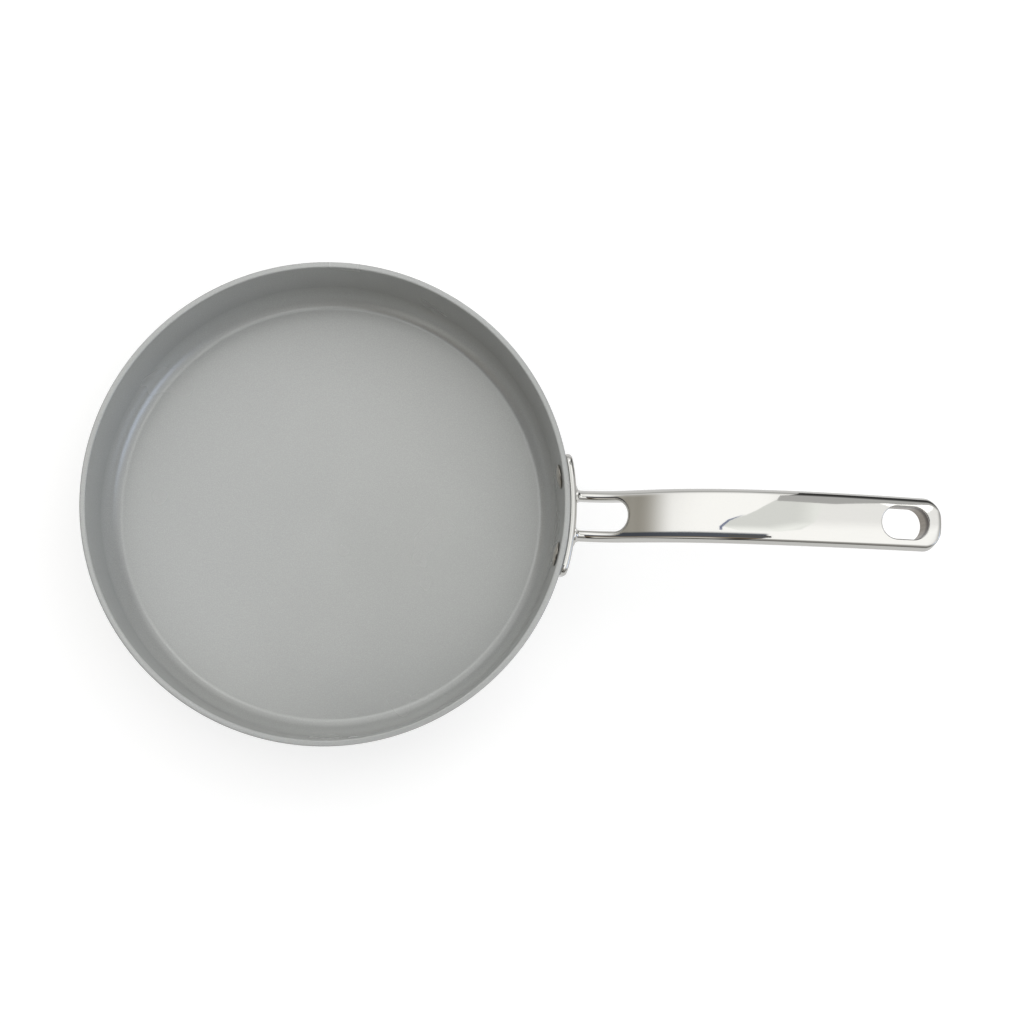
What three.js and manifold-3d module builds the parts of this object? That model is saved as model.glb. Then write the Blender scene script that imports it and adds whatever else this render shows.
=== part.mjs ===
// Frying pan: a straight-walled coated aluminium vessel with a steel plate let into its underside,
// and a hollow steel handle that a forked bracket and two rivets hold on the wall.
// Millimetres, +Z up. The origin is the centre of the face that the pan stands on, and the handle
// runs along +X.

import * as THREE from "three";
import { mergeVertices } from "three/addons/utils/BufferGeometryUtils.js";
import Module from "manifold-3d";

const { clamp, degToRad, lerp } = THREE.MathUtils;

// Vessel
const rimDiameter = 262;
const vesselHeight = 55;
const wallThickness = 3.2;
const wallDraft = degToRad(1);
const floorThickness = 4.5;
const cornerBendRadius = 4;
const cornerBendAngle = degToRad(30);
const cornerFlankRadius = 16;
const outsideCornerRadius = 13.2;
const rimEdgeRadius = 0.8;

// Base plate, let into the underside with a rim of the vessel left around it
const baseRimWidth = 22;
const basePlateThickness = 1.2;
const basePlateProud = 0.4;
const basePlateChamfer = 0.4;

// Bracket plate, bent to the vessel's wall
const bracketWidth = 69;
const bracketHeight = 20;
const bracketThickness = 3.8;
const bracketBelowRim = 2.5;
const bracketCornerRadius = 6;
const bracketEdgeRadius = 1.6;

// Rivets, with a domed head inside the vessel and a tail spread flush in the bracket plate
const rivetSpacing = 44;
const rivetShankDiameter = 6;
const rivetHeadDiameter = 13.5;
const rivetHeadHeight = 1.7;
const rivetHeadEdge = 0.5;
const rivetTailDiameter = 10;

// Handle path: one curve in the XZ plane along the handle's widest line, level at the bracket
const handleReach = 188.5;
const handleRootAboveBracket = 2.5;
const handleTipAboveRim = 33;
const handleRootPull = 42;
const handleTipPull = 160;
const handleTipFall = degToRad(2.3);

// Handle section: a crowned top face with round edges, flared shoulders and a round belly
const handleWidth = 28.2;
const handleSwell = 1;
const shoulderInset = 1.7;
const shoulderRise = 4.2;
const topCrown = 0.6;
const topEdgeRound = 1.6;
const bellyAtRoot = 5;
const bellyAtTip = 9.3;
const noseLength = 9;
const shellThickness = 1.2;

// Fork: two arms with a window between them, a yoke, and a spigot that plugs the grip
const forkLength = 37.5;
const windowLength = 31;
const windowWidth = 16.4;
const windowFlare = 1.6;
const armFillet = 2.5;
const spigotLength = 14;

// Hang hole, lined by a sleeve
const hangHoleLength = 25;
const hangHoleWidth = 17;
const hangHoleToTip = 7.5;
const sleeveThickness = 1.2;

// Clearances
const fitGap = 0.3;
const bondGap = 0.1;

// Facets
const vesselSegments = 96;
const rivetSegments = 24;
const cornerSteps = 6;
const edgeSteps = 2;
const filletSteps = 4;
const sectionSteps = 4;
const roundEndSteps = 8;
const forkSteps = 14;
const gripSteps = 22;
const almostClosed = degToRad(85);

// Places that follow from the sizes above
const rimRadius = rimDiameter / 2;
const floorZ = basePlateProud + floorThickness;
const rimZ = basePlateProud + vesselHeight;
const outsideCornerZ = basePlateProud + outsideCornerRadius;
const undersideRadius = cornerCentre(outerRadiusAt(outsideCornerZ), outsideCornerRadius);
const basePlateRadius = undersideRadius - baseRimWidth;
const bracketZ = rimZ - bracketBelowRim - bracketHeight / 2;
const bracketFace = outerRadiusAt(bracketZ) + fitGap + bracketThickness;
const rivetAngle = Math.asin(rivetSpacing / 2 / outerRadiusAt(bracketZ));
const throughHandle = 2 * (bellyAtTip + shoulderRise);

const handleRoot = new THREE.Vector3(bracketFace, 0, bracketZ + handleRootAboveBracket);
const handleTip = new THREE.Vector3(bracketFace + handleReach, 0, rimZ + handleTipAboveRim);
const handlePath = new THREE.CubicBezierCurve3(
  handleRoot,
  handleRoot.clone().add(new THREE.Vector3(handleRootPull, 0, 0)),
  handleTip.clone().add(polar(handleTipPull, Math.PI - handleTipFall)),
  handleTip,
);
const pathLength = handlePath.getLength();
const noseStart = pathLength - noseLength;
const hangHoleCentre = pathLength - hangHoleToTip - hangHoleLength / 2;

const wasm = await Module();
wasm.setup();

// Radius of the vessel's outer wall at a height
function outerRadiusAt(z) {
  return rimRadius - (rimZ - z) * Math.tan(wallDraft);
}

// Radius of the vessel's inner wall at a height
function innerRadiusAt(z) {
  return outerRadiusAt(z) - wallThickness;
}

// Radius at which a corner's arc is centred, so that it runs into the drafted wall
function cornerCentre(wallRadius, cornerRadius) {
  return wallRadius - cornerRadius / Math.cos(wallDraft);
}

// A step in the XZ plane, by length and angle
function polar(length, angle) {
  return new THREE.Vector3(length * Math.cos(angle), 0, length * Math.sin(angle));
}

function flat(x, y) {
  return new THREE.Vector2(x, y);
}

// Evenly spaced values, both ends included
function spread(from, to, steps) {
  return Array.from({ length: steps + 1 }, (_, i) => lerp(from, to, i / steps));
}

// Points of an arc, both ends included
function arc(x, y, radius, from, to, steps) {
  return spread(from, to, steps).map((a) => flat(x + radius * Math.cos(a), y + radius * Math.sin(a)));
}

// What a fillet adds to a side, at a distance from the face that it runs into
function filletAt(distance, radius) {
  const left = clamp(radius - distance, 0, radius);
  return radius - Math.sqrt(radius ** 2 - left ** 2);
}

// A closed mesh as a solid that can be joined and cut
function solid(geometry) {
  const bare = geometry.clone();
  bare.deleteAttribute("normal");
  bare.deleteAttribute("uv");
  const merged = mergeVertices(bare);
  const corners = merged.index.array;
  const triVerts = [];
  for (let i = 0; i < corners.length; i += 3) {
    const triangle = corners.slice(i, i + 3);
    if (new Set(triangle).size === 3) triVerts.push(...triangle);
  }
  return new wasm.Manifold(
    new wasm.Mesh({
      numProp: 3,
      vertProperties: merged.attributes.position.array,
      triVerts: new Uint32Array(triVerts),
    }),
  );
}

// A solid as a named mesh with its own material
function piece(name, shape, color, roughness, metalness) {
  const { vertProperties, triVerts } = shape.getMesh();
  const geometry = new THREE.BufferGeometry();
  geometry.setAttribute("position", new THREE.BufferAttribute(vertProperties, 3));
  geometry.setIndex(new THREE.BufferAttribute(triVerts, 1));
  geometry.computeVertexNormals();
  const mesh = new THREE.Mesh(
    geometry,
    new THREE.MeshStandardMaterial({ color, roughness, metalness }),
  );
  mesh.name = name;
  return mesh;
}

// A profile of (radius, height) points turned about Z
function turned(profile) {
  return solid(new THREE.LatheGeometry(profile, vesselSegments).rotateX(Math.PI / 2));
}

// A closed skin over rings that have the same number of points, capped at both ends
function loft(rings) {
  const size = rings[0].length;
  const index = [];
  for (let i = 0; i + 1 < rings.length; i++) {
    for (let j = 0; j < size; j++) {
      const a = i * size + j;
      const b = i * size + ((j + 1) % size);
      index.push(a, b, b + size, a, b + size, a + size);
    }
  }
  const last = (rings.length - 1) * size;
  for (let j = 1; j + 1 < size; j++) {
    index.push(0, j + 1, j, last, last + j, last + j + 1);
  }
  const geometry = new THREE.BufferGeometry();
  geometry.setFromPoints(rings.flat());
  geometry.setIndex(index);
  return solid(geometry);
}

// The point at a distance along the handle path, y across it and n off it
function onPath(distance, y, n) {
  const inside = clamp(distance, 0, pathLength);
  const along = handlePath.getTangentAt(inside / pathLength);
  const point = handlePath.getPointAt(inside / pathLength);
  point.addScaledVector(along, distance - inside);
  return new THREE.Vector3(point.x - n * along.z, y, point.z + n * along.x);
}

// A solid along the handle path, from stations of a distance and an outline of (y, n) points
function sweep(stations) {
  return loft(stations.map(([d, outline]) => outline.map((p) => onPath(d, p.x, p.y))));
}

// An outline with upright sides, from low to high
function upright(half, low, high) {
  return [flat(half, low), flat(half, high), flat(-half, high), flat(-half, low)];
}

// The handle's outline at a distance along the path, drawn in by inset for an inner skin
function handleOutline(distance, inset) {
  const share = clamp(distance / pathLength, 0, 1);
  const intoNose = clamp((distance - noseStart) / (noseLength - inset), 0, 1);
  const narrowing = Math.sqrt(1 - intoNose ** 2);
  const thinning = Math.sqrt(1 - intoNose ** 4);
  const width = handleWidth + handleSwell * Math.sin(Math.PI * share);
  const half = width / 2 - inset + filletAt(distance, armFillet);
  const topHalf = (half - shoulderInset) * narrowing;
  const wideHalf = half * narrowing;
  const rise = (shoulderRise - inset) * thinning;
  const crown = topCrown * thinning;
  const belly = (lerp(bellyAtRoot, bellyAtTip, share) - inset) * thinning;
  const round = Math.max(topEdgeRound - inset, fitGap) * narrowing;
  const shoulder = flat(topHalf, rise).lerp(flat(wideHalf, 0), round / rise);
  const top = flat(topHalf - round, rise + 2 * crown * (round / topHalf));
  const section = new THREE.Path();
  section.moveTo(wideHalf, 0);
  section.lineTo(shoulder.x, shoulder.y);
  section.quadraticCurveTo(topHalf, rise, top.x, top.y);
  section.quadraticCurveTo(0, rise + 2 * crown, -top.x, top.y);
  section.quadraticCurveTo(-topHalf, rise, -shoulder.x, shoulder.y);
  section.lineTo(-wideHalf, 0);
  section.absellipse(0, 0, wideHalf, belly, Math.PI, 2 * Math.PI);
  return section.getPoints(sectionSteps).slice(0, -1);
}

// The grip from a distance along the path to its round nose, drawn in by inset for an inner skin
function gripBody(from, inset) {
  const straight = spread(from, noseStart, gripSteps).slice(0, -1);
  const nose = spread(0, almostClosed, roundEndSteps).map(
    (a) => noseStart + (noseLength - inset) * Math.sin(a),
  );
  return sweep([...straight, ...nose].map((d) => [d, handleOutline(d, inset)]));
}

// Everything between two heights off the grip's widest line
function gripLayer(low, high) {
  const distances = spread(forkLength - fitGap, pathLength + noseLength, gripSteps);
  return sweep(distances.map((d) => [d, upright(handleWidth, low, high)]));
}

// An oval prism through the grip at the hang hole, with round ends, wider than the hole by grow
function hangOval(grow) {
  const radius = hangHoleWidth / 2 + grow;
  const straight = (hangHoleLength - hangHoleWidth) / 2;
  const end = (side) =>
    spread(0, almostClosed, roundEndSteps).map((a) => [
      hangHoleCentre + side * (straight + radius * Math.sin(a)),
      upright(radius * Math.cos(a), -throughHandle, throughHandle),
    ]);
  return sweep([...end(-1).reverse(), ...end(1)]);
}

// The space between the fork's arms: filleted at the bracket, round at the yoke, flared on top
function windowSpace() {
  const radius = windowWidth / 2;
  const straightEnd = windowLength - radius;
  const top = shoulderRise + 2 * topCrown;
  const distances = [
    ...spread(-bracketThickness, armFillet, filletSteps),
    ...spread(0, almostClosed, roundEndSteps).map((a) => straightEnd + radius * Math.sin(a)),
  ];
  return sweep(
    distances.map((d) => {
      const round = Math.sqrt(radius ** 2 - Math.max(0, d - straightEnd) ** 2);
      const half = round - filletAt(d, armFillet);
      const flared = half + windowFlare * (round / radius);
      const below = upright(half, -throughHandle, 0);
      return [d, [below[0], below[1], flat(flared, top), flat(-flared, top), below[2], below[3]]];
    }),
  );
}

// The plate that lies on the wall, with round corners and a rounded outer edge
function bracketPlate() {
  const end = bracketWidth / 2;
  const straight = end - bracketCornerRadius;
  const half = [
    ...spread(0, straight, cornerSteps).slice(0, -1),
    ...spread(0, Math.PI / 2, cornerSteps).map((a) => straight + bracketCornerRadius * Math.sin(a)),
  ];
  const places = [...half.slice(1).reverse().map((d) => -d), ...half];
  const rings = places.map((place) => {
    const fromEnd = end - Math.abs(place);
    const tall = bracketHeight / 2 - filletAt(fromEnd, bracketCornerRadius);
    const thick = bracketThickness - filletAt(fromEnd, bracketEdgeRadius);
    const edge = Math.min(bracketEdgeRadius, thick / 2);
    const angle = place / bracketFace;
    const outline = [
      flat(0, tall),
      ...arc(thick - edge, tall - edge, edge, Math.PI / 2, 0, edgeSteps),
      ...arc(thick - edge, edge - tall, edge, 0, -Math.PI / 2, edgeSteps),
      flat(0, -tall),
    ];
    return outline.map((p) => {
      const z = bracketZ + p.y;
      const radius = outerRadiusAt(z) + fitGap + p.x;
      return new THREE.Vector3(radius * Math.cos(angle), radius * Math.sin(angle), z);
    });
  });
  return loft(rings);
}

// The corner inside the vessel: a long flank down from the wall, then a tight bend into the floor
function insideCorner() {
  const bendEnd = cornerBendAngle - Math.PI / 2;
  const bendZ = floorZ + cornerBendRadius;
  const betweenCentres = cornerFlankRadius - cornerBendRadius;
  const flankZ = bendZ + betweenCentres * Math.cos(cornerBendAngle);
  const flankCentre = cornerCentre(innerRadiusAt(flankZ), cornerFlankRadius);
  const floorRadius = flankCentre + betweenCentres * Math.sin(cornerBendAngle);
  return [
    ...arc(flankCentre, flankZ, cornerFlankRadius, -wallDraft, bendEnd, cornerSteps),
    ...arc(floorRadius, bendZ, cornerBendRadius, bendEnd, -Math.PI / 2, filletSteps).slice(1),
  ];
}

// Vessel: floor, drafted wall, flat rim with eased edges, and a recess for the base plate
function vessel() {
  const recessRadius = basePlateRadius + fitGap;
  const recessZ = basePlateThickness + bondGap;
  const edgeZ = rimZ - rimEdgeRadius;
  const outerEdge = rimRadius - rimEdgeRadius;
  const innerEdge = rimRadius - wallThickness + rimEdgeRadius;
  return turned([
    flat(0, recessZ),
    flat(recessRadius, recessZ),
    flat(recessRadius, basePlateProud),
    ...arc(undersideRadius, outsideCornerZ, outsideCornerRadius, -Math.PI / 2, -wallDraft, cornerSteps),
    ...arc(outerEdge, edgeZ, rimEdgeRadius, 0, Math.PI / 2, edgeSteps),
    ...arc(innerEdge, edgeZ, rimEdgeRadius, Math.PI / 2, Math.PI, edgeSteps),
    ...insideCorner(),
    flat(0, floorZ),
  ]);
}

// Base plate: a disc with an eased lower edge
function basePlate() {
  return turned([
    flat(0, 0),
    flat(basePlateRadius - basePlateChamfer, 0),
    flat(basePlateRadius, basePlateChamfer),
    flat(basePlateRadius, basePlateThickness),
    flat(0, basePlateThickness),
  ]);
}

// Fork: bracket plate, arms and yoke in one casting, with the spigot behind the yoke
function fork() {
  const distances = [
    ...spread(-bracketThickness / 2, armFillet, filletSteps),
    ...spread(armFillet, forkLength, forkSteps).slice(1),
  ];
  const arms = sweep(distances.map((d) => [d, handleOutline(d, 0)])).subtract(windowSpace());
  const spigotStart = (windowLength + forkLength) / 2;
  const spigot = sweep(
    spread(spigotStart, forkLength + spigotLength, filletSteps).map((d) => [
      d,
      handleOutline(d, shellThickness + fitGap),
    ]),
  );
  return arms.add(spigot).add(bracketPlate());
}

// A rivet through the wall and the bracket plate, on the +Y side or the -Y side, or with grow
// the hole that clears it
function rivet(side, grow) {
  const shank = rivetShankDiameter / 2 + grow;
  const tail = rivetTailDiameter / 2 + grow;
  const head = rivetHeadDiameter / 2;
  const wall = innerRadiusAt(bracketZ);
  const bend = wall - Math.sqrt(wall ** 2 - head ** 2);
  const seat = wall - bend - head * Math.tan(wallDraft) - bondGap;
  const tailEnd = bracketFace - bondGap;
  const domeRise = rivetHeadHeight - rivetHeadEdge;
  const domeRadius = (head ** 2 + domeRise ** 2) / (2 * domeRise);
  const domeCentre = seat - rivetHeadHeight + domeRadius;
  const domeEdge = Math.asin(head / domeRadius) - Math.PI / 2;
  const profile = [
    ...arc(0, domeCentre, domeRadius, -Math.PI / 2, domeEdge, cornerSteps),
    flat(head, seat),
    flat(shank, seat),
    flat(shank, tailEnd - (tail - shank)),
    flat(tail, tailEnd),
    flat(tail, tailEnd + grow),
    flat(0, tailEnd + grow),
  ];
  const shape = new THREE.LatheGeometry(profile, rivetSegments);
  shape.rotateZ(side * rivetAngle - Math.PI / 2);
  shape.translate(0, 0, bracketZ);
  return solid(shape);
}

const rivetHoles = rivet(1, fitGap).add(rivet(-1, fitGap));
const gripOuter = gripBody(forkLength + fitGap, 0);
const gripSkin = gripOuter
  .subtract(gripBody(forkLength - fitGap, shellThickness))
  .subtract(hangOval(sleeveThickness + fitGap));
const upperShell = gripSkin.intersect(gripLayer(fitGap / 2, throughHandle));
const lowerShell = gripSkin.intersect(gripLayer(-throughHandle, -fitGap / 2));
const sleeve = gripOuter.intersect(hangOval(sleeveThickness)).subtract(hangOval(0));

const pan = new THREE.Group();
pan.name = "frying_pan";
pan.add(
  piece("pan_body", vessel().subtract(rivetHoles), 0xa9aaa6, 0.45, 0.2),
  piece("base_plate", basePlate(), 0x9a9a98, 0.35, 1),
  piece("handle_fork", fork().subtract(rivetHoles), 0xc9c8c4, 0.08, 1),
  piece("grip_upper_shell", upperShell, 0xc9c8c4, 0.08, 1),
  piece("grip_lower_shell", lowerShell, 0xc9c8c4, 0.08, 1),
  piece("hang_hole_sleeve", sleeve, 0xb4b1a8, 0.15, 1),
  piece("rivet_left", rivet(1, 0), 0x8f8c86, 0.2, 1),
  piece("rivet_right", rivet(-1, 0), 0x8f8c86, 0.2, 1),
);

export default pan;
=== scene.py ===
"""Frying pan with a coated vessel and a forked, hollow steel handle, modelled around its CAD frame.

Every piece stands where its CAD node stands, in metres, with +Z up and the handle along +X.
"""

from math import asin, cos, pi, radians, sin, sqrt, tan

import bmesh
import bpy
from bpy.props import FloatProperty, FloatVectorProperty, PointerProperty
from bpy.types import Operator, Panel, PropertyGroup
from mathutils import Matrix, Vector


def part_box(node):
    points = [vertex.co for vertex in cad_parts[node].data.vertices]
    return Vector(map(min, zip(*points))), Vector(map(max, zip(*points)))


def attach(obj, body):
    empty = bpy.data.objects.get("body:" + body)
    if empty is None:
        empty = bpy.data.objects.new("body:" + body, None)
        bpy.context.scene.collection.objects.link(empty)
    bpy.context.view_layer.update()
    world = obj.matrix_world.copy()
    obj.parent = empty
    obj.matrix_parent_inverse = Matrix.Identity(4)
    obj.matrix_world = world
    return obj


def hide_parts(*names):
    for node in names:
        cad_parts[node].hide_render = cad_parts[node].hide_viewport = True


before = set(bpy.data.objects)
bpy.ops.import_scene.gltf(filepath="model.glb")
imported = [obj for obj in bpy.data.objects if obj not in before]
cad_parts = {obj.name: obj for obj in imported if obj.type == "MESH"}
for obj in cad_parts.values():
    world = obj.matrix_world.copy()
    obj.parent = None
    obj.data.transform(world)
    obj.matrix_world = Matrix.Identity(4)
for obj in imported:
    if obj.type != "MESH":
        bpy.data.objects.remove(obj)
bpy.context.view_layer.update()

bl_info = {
    "name": "Frying pan",
    "version": (1, 0, 0),
    "blender": (4, 5, 0),
    "location": "View3D > Sidebar > Pan",
    "description": "Models a riveted frying pan piece by piece and sets it on a pale stage",
    "category": "Add Mesh",
}

MM = 0.001
BODY = "root"

# Gap that stands for pieces welded, bonded or pressed together
HAIRLINE = 0.02 * MM

# Fineness of the meshes: steps round a turned piece, round a rivet and round a slot's tool, and along the
# handle's line, as drawn and as measured
TURN_STEPS = 192
RIVET_STEPS = 48
SLOT_STEPS = 64
LINE_STEPS = 512
MEASURE_STEPS = 2000

# Edges sharper than this stay sharp
SMOOTH_ANGLE = radians(30)

# How nearly an edge or a normal lies along an axis if it counts as lying along it
NEARLY = 0.99

# How far a normal rises: at most on an upright wall, and at least on a face that looks upwards and on
# the flat top
WALL_RISE = 0.1
UPWARD_RISE = 0.3
TOP_RISE = 0.95

# Depth of the tool that cuts a slot through the handle
TOOL_DEPTH = 60 * MM

# How far the nose keeps its height: the larger the number, the closer to the tip
NOSE_BLUNTNESS = 10

# Corners of the CAD nodes that the pieces stand for
vessel_low, vessel_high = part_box("pan_body")
plate_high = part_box("base_plate")[1]
fork_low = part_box("handle_fork")[0]
grip_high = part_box("grip_upper_shell")[1]


def linear(hex_colour):
    """An sRGB hex colour as a linear RGBA colour"""
    channels = [int(hex_colour[i : i + 2], 16) / 255 for i in (1, 3, 5)]
    curve = [c / 12.92 if c <= 0.04045 else ((c + 0.055) / 1.055) ** 2.4 for c in channels]
    return (*curve, 1.0)


def length(name, default, description):
    """A size that a user may change"""
    return FloatProperty(name=name, description=description, default=default, unit="LENGTH")


def angle(name, degrees, description):
    """An angle that a user may change"""
    return FloatProperty(name=name, description=description, default=radians(degrees), subtype="ANGLE")


def colour(name, hex_colour, description):
    """A colour that a user may change"""
    default = linear(hex_colour)
    return FloatVectorProperty(
        name=name, description=description, default=default, size=4, subtype="COLOR", min=0, max=1
    )


class PanSizes(PropertyGroup):
    """Sizes of the pan"""

    rim_radius: length("Rim radius", vessel_high.x, "Outside radius of the vessel at its rim")
    rim_height: length("Rim height", vessel_high.z, "Height of the rim above the hob")
    underside: length("Underside", vessel_low.z, "Height of the vessel's underside above the hob")
    wall: length("Wall", 3.2 * MM, "Thickness of the vessel's wall")
    draft: angle("Draft", 1, "Lean of the vessel's wall")
    floor: length("Floor", 4.5 * MM, "Thickness of the vessel's floor")
    corner_bend: length("Corner bend", 4 * MM, "Radius of the tight bend where the floor turns up")
    bend_angle: angle("Bend angle", 30, "How far the tight bend turns before the flank takes over")
    corner_flank: length("Corner flank", 16 * MM, "Radius of the flank between the bend and the wall")
    outside_corner: length("Outside corner", 13.2 * MM, "Radius of the vessel's corner outside")
    rim_round: length("Rim round", 0.8 * MM, "Radius of the rim's two edges")
    disc_radius: length("Disc radius", plate_high.x, "Radius of the base disc")
    disc_thickness: length("Disc thickness", plate_high.z, "Thickness of the base disc")
    disc_chamfer: length("Disc chamfer", 0.4 * MM, "Chamfer on the base disc's lower edge")
    bracket_width: length("Bracket width", 69 * MM, "Width of the bracket plate along the wall")
    bracket_height: length("Bracket height", 20 * MM, "Height of the bracket plate")
    bracket_thickness: length("Bracket thickness", 3.8 * MM, "Thickness of the bracket plate")
    bracket_corner: length("Bracket corner", 6 * MM, "Radius of the bracket plate's corners")
    bracket_edge: length("Bracket edge", 2.2 * MM, "Radius of the bracket plate's outer edge")
    bracket_inner_edge: length("Bracket inner edge", 1.2 * MM, "Radius of the edge next to the wall")
    bracket_gap: length("Bracket gap", 0.3 * MM, "Gap of plate and wall in the CAD, filled here")
    rivet_spacing: length("Rivet spacing", 44 * MM, "Distance between the rivets")
    rivet_shank: length("Rivet shank", 3 * MM, "Radius of a rivet's shank")
    rivet_head: length("Rivet head", 6.75 * MM, "Radius of a rivet's head")
    rivet_dome: length("Rivet dome", 1.2 * MM, "Rise of a rivet's domed head above its edge")
    rivet_edge: length("Rivet edge", 0.5 * MM, "Height of a rivet head's edge")
    rivet_round: length("Rivet round", 0.25 * MM, "Round on a rivet head's edge")
    rivet_tail: length("Rivet tail", 5 * MM, "Radius of a rivet's set tail")
    rivet_proud: length("Rivet proud", 0.25 * MM, "How far a rivet's set tail stands out of the plate")
    rivet_crown: length("Rivet crown", 0.15 * MM, "Rise of a set tail's middle above its edge")
    handle_root: length("Handle root", 2.5 * MM, "Height of the handle's line above the plate's middle")
    root_pull: length("Root pull", 42 * MM, "Run of the handle from the bracket before it climbs")
    tip_pull: length("Tip pull", 160 * MM, "How far back from the tip the handle levels out")
    tip_fall: angle("Tip fall", 2.3, "Fall of the handle at its tip")
    handle_reach: length("Handle reach", 188.5 * MM, "Reach of the handle from the bracket plate")
    tip_height: length("Tip height", 33 * MM, "Height of the handle's tip above the rim")
    handle_width: length("Handle width", 28.2 * MM, "Width of the handle at its ends")
    handle_swell: length("Handle swell", 1 * MM, "Extra width of the handle at its middle")
    shoulder_inset: length("Shoulder inset", 1.7 * MM, "How far the top face's edge lies inside the sides")
    shoulder_rise: length("Shoulder rise", 4.2 * MM, "Height of the top face's edge above the widest line")
    crown: length("Crown", 0.68 * MM, "Rise of the top face's middle above its edges")
    edge_round: length("Edge round", 1.6 * MM, "Round on the top face's edges")
    side_round: length("Side round", 0.9 * MM, "Round on the handle's widest lines")
    belly_root: length("Belly at root", 5 * MM, "Depth of the handle below its widest line, at the bracket")
    belly_tip: length("Belly at tip", 9.3 * MM, "Depth of the handle below its widest line, at the tip")
    nose: length("Nose", 9 * MM, "Length of the handle's round end")
    shell: length("Shell", 1.2 * MM, "Thickness of the grip's shells")
    fork_length: length("Fork length", 37.5 * MM, "Length of the fork, up to the grip")
    seam_dip: length("Seam dip", 0.06 * MM, "Depth that is ground off the fork's top at the seam")
    seam_reach: length("Seam reach", 6 * MM, "Length of the fork's top that is ground")
    window_length: length("Window length", 31 * MM, "Length of the window between the fork's arms")
    window_width: length("Window width", 16.4 * MM, "Width of the window between the fork's arms")
    window_round: length("Window round", 2.4 * MM, "Round on the window's upper edge")
    arm_fillet: length("Arm fillet", 2.5 * MM, "Fillet between the arms and the bracket plate")
    spigot: length("Spigot", 14 * MM, "Length of the fork's spigot inside the grip")
    hole_length: length("Hole length", 25 * MM, "Length of the hang hole")
    hole_width: length("Hole width", 17 * MM, "Width of the hang hole")
    hole_to_tip: length("Hole to tip", 7.5 * MM, "Distance from the hang hole to the handle's tip")
    hole_lip: length("Hole lip", 0.6 * MM, "Round on the hang hole's upper rim")
    sleeve_sheet: length("Sleeve sheet", 0.6 * MM, "Thickness of the hang hole's sleeve")


class PanColours(PropertyGroup):
    """Colours of the pan and its stage"""

    coating: colour("Coating", "#b4b5b3", "Ceramic coating on the vessel")
    coating_grit: colour("Coating grit", "#bfc1be", "Metallic grit in the coating")
    base_steel: colour("Base steel", "#a8a7a4", "Turned steel of the base disc")
    base_groove: colour("Base groove", "#8b8a87", "Grooves of the base disc's circular grain")
    polished_steel: colour("Polished steel", "#dad9d5", "Mirror-polished steel of the handle")
    sleeve_steel: colour("Sleeve steel", "#a39b90", "Drawn steel inside the hang hole")
    sleeve_streak: colour("Sleeve streak", "#7d766c", "Drawing marks inside the hang hole")
    # Painted shade: the dark brownish tone over the upper rim of the hang hole's sleeve
    sleeve_painted_shade: colour("Sleeve painted shade", "#4a423b", "Painted shade, dark brownish, on the hang hole's upper rim")
    rivet_steel: colour("Rivet steel", "#cbc6bd", "Steel of the rivets")
    rivet_dint: colour("Rivet dint", "#a19c93", "Hammer marks on the rivets")
    stage: colour("Stage", "#c3c3c2", "Pale floor")


# Selecting and shaping


def deselect():
    """Closes any mesh that is open for editing and deselects every object"""
    if bpy.context.mode != "OBJECT":
        bpy.ops.object.mode_set(mode="OBJECT")
    bpy.ops.object.select_all(action="DESELECT")


def take(obj):
    """Makes an object the only one selected"""
    deselect()
    obj.select_set(True)
    bpy.context.view_layer.objects.active = obj


def edit(obj):
    """Opens a mesh for editing with all of it selected"""
    take(obj)
    bpy.ops.object.mode_set(mode="EDIT")
    bpy.ops.mesh.select_mode(type="VERT")
    bpy.ops.mesh.select_all(action="SELECT")


def select(obj, kind, test):
    """Selects the open mesh's vertices, edges or faces that pass a test"""
    bpy.ops.mesh.select_mode(type=kind)
    bpy.ops.mesh.select_all(action="DESELECT")
    mesh = bmesh.from_edit_mesh(obj.data)
    items = {"VERT": mesh.verts, "EDGE": mesh.edges, "FACE": mesh.faces}[kind]
    for item in items:
        if test(item):
            item.select_set(True)
    mesh.select_flush_mode()
    bmesh.update_edit_mesh(obj.data)


def draw(points, closed=False):
    """Draws a line through points, from a plane merged to one vertex, and leaves it open for editing"""
    deselect()
    bpy.ops.mesh.primitive_plane_add(size=MM)
    line = bpy.context.object
    edit(line)
    bpy.ops.mesh.merge(type="CENTER")
    bpy.ops.transform.translate(value=points[0])
    for here, there in zip(points, points[1:]):
        step = Vector(there) - Vector(here)
        bpy.ops.mesh.extrude_vertices_move(TRANSFORM_OT_translate={"value": step})
    if closed:
        select(line, "VERT", lambda v: len(v.link_edges) < 2)
        bpy.ops.mesh.edge_face_add()
    bpy.ops.mesh.select_mode(type="EDGE")
    bpy.ops.mesh.select_all(action="SELECT")
    return line


def turn(points, axis, steps):
    """Draws a profile and spins it about an axis through the origin into a closed skin"""
    skin = draw(points)
    bpy.ops.mesh.spin(steps=steps, angle=2 * pi, center=(0, 0, 0), axis=axis)
    tidy(skin)
    return skin


def tidy(obj):
    """Merges doubled vertices and turns the normals outwards"""
    edit(obj)
    bpy.ops.mesh.remove_doubles(threshold=HAIRLINE / 10)
    bpy.ops.mesh.normals_make_consistent(inside=False)
    bpy.ops.object.mode_set(mode="OBJECT")


def apply(obj, kind, **settings):
    """Adds a modifier with its settings and applies it"""
    take(obj)
    modifier = obj.modifiers.new(kind.title(), kind)
    for name, value in settings.items():
        setattr(modifier, name, value)
    bpy.ops.object.modifier_apply(modifier=modifier.name)


def combine(obj, tool, operation):
    """Cuts a tool out of an object, or joins it on, and removes the tool"""
    apply(obj, "BOOLEAN", object=tool, operation=operation, solver="EXACT")
    bpy.data.objects.remove(tool)


def slice_at(place, normal):
    """Cuts the selected faces of the open mesh along a plane"""
    bpy.ops.mesh.bisect(plane_co=place, plane_no=normal, threshold=HAIRLINE / 10)


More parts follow.
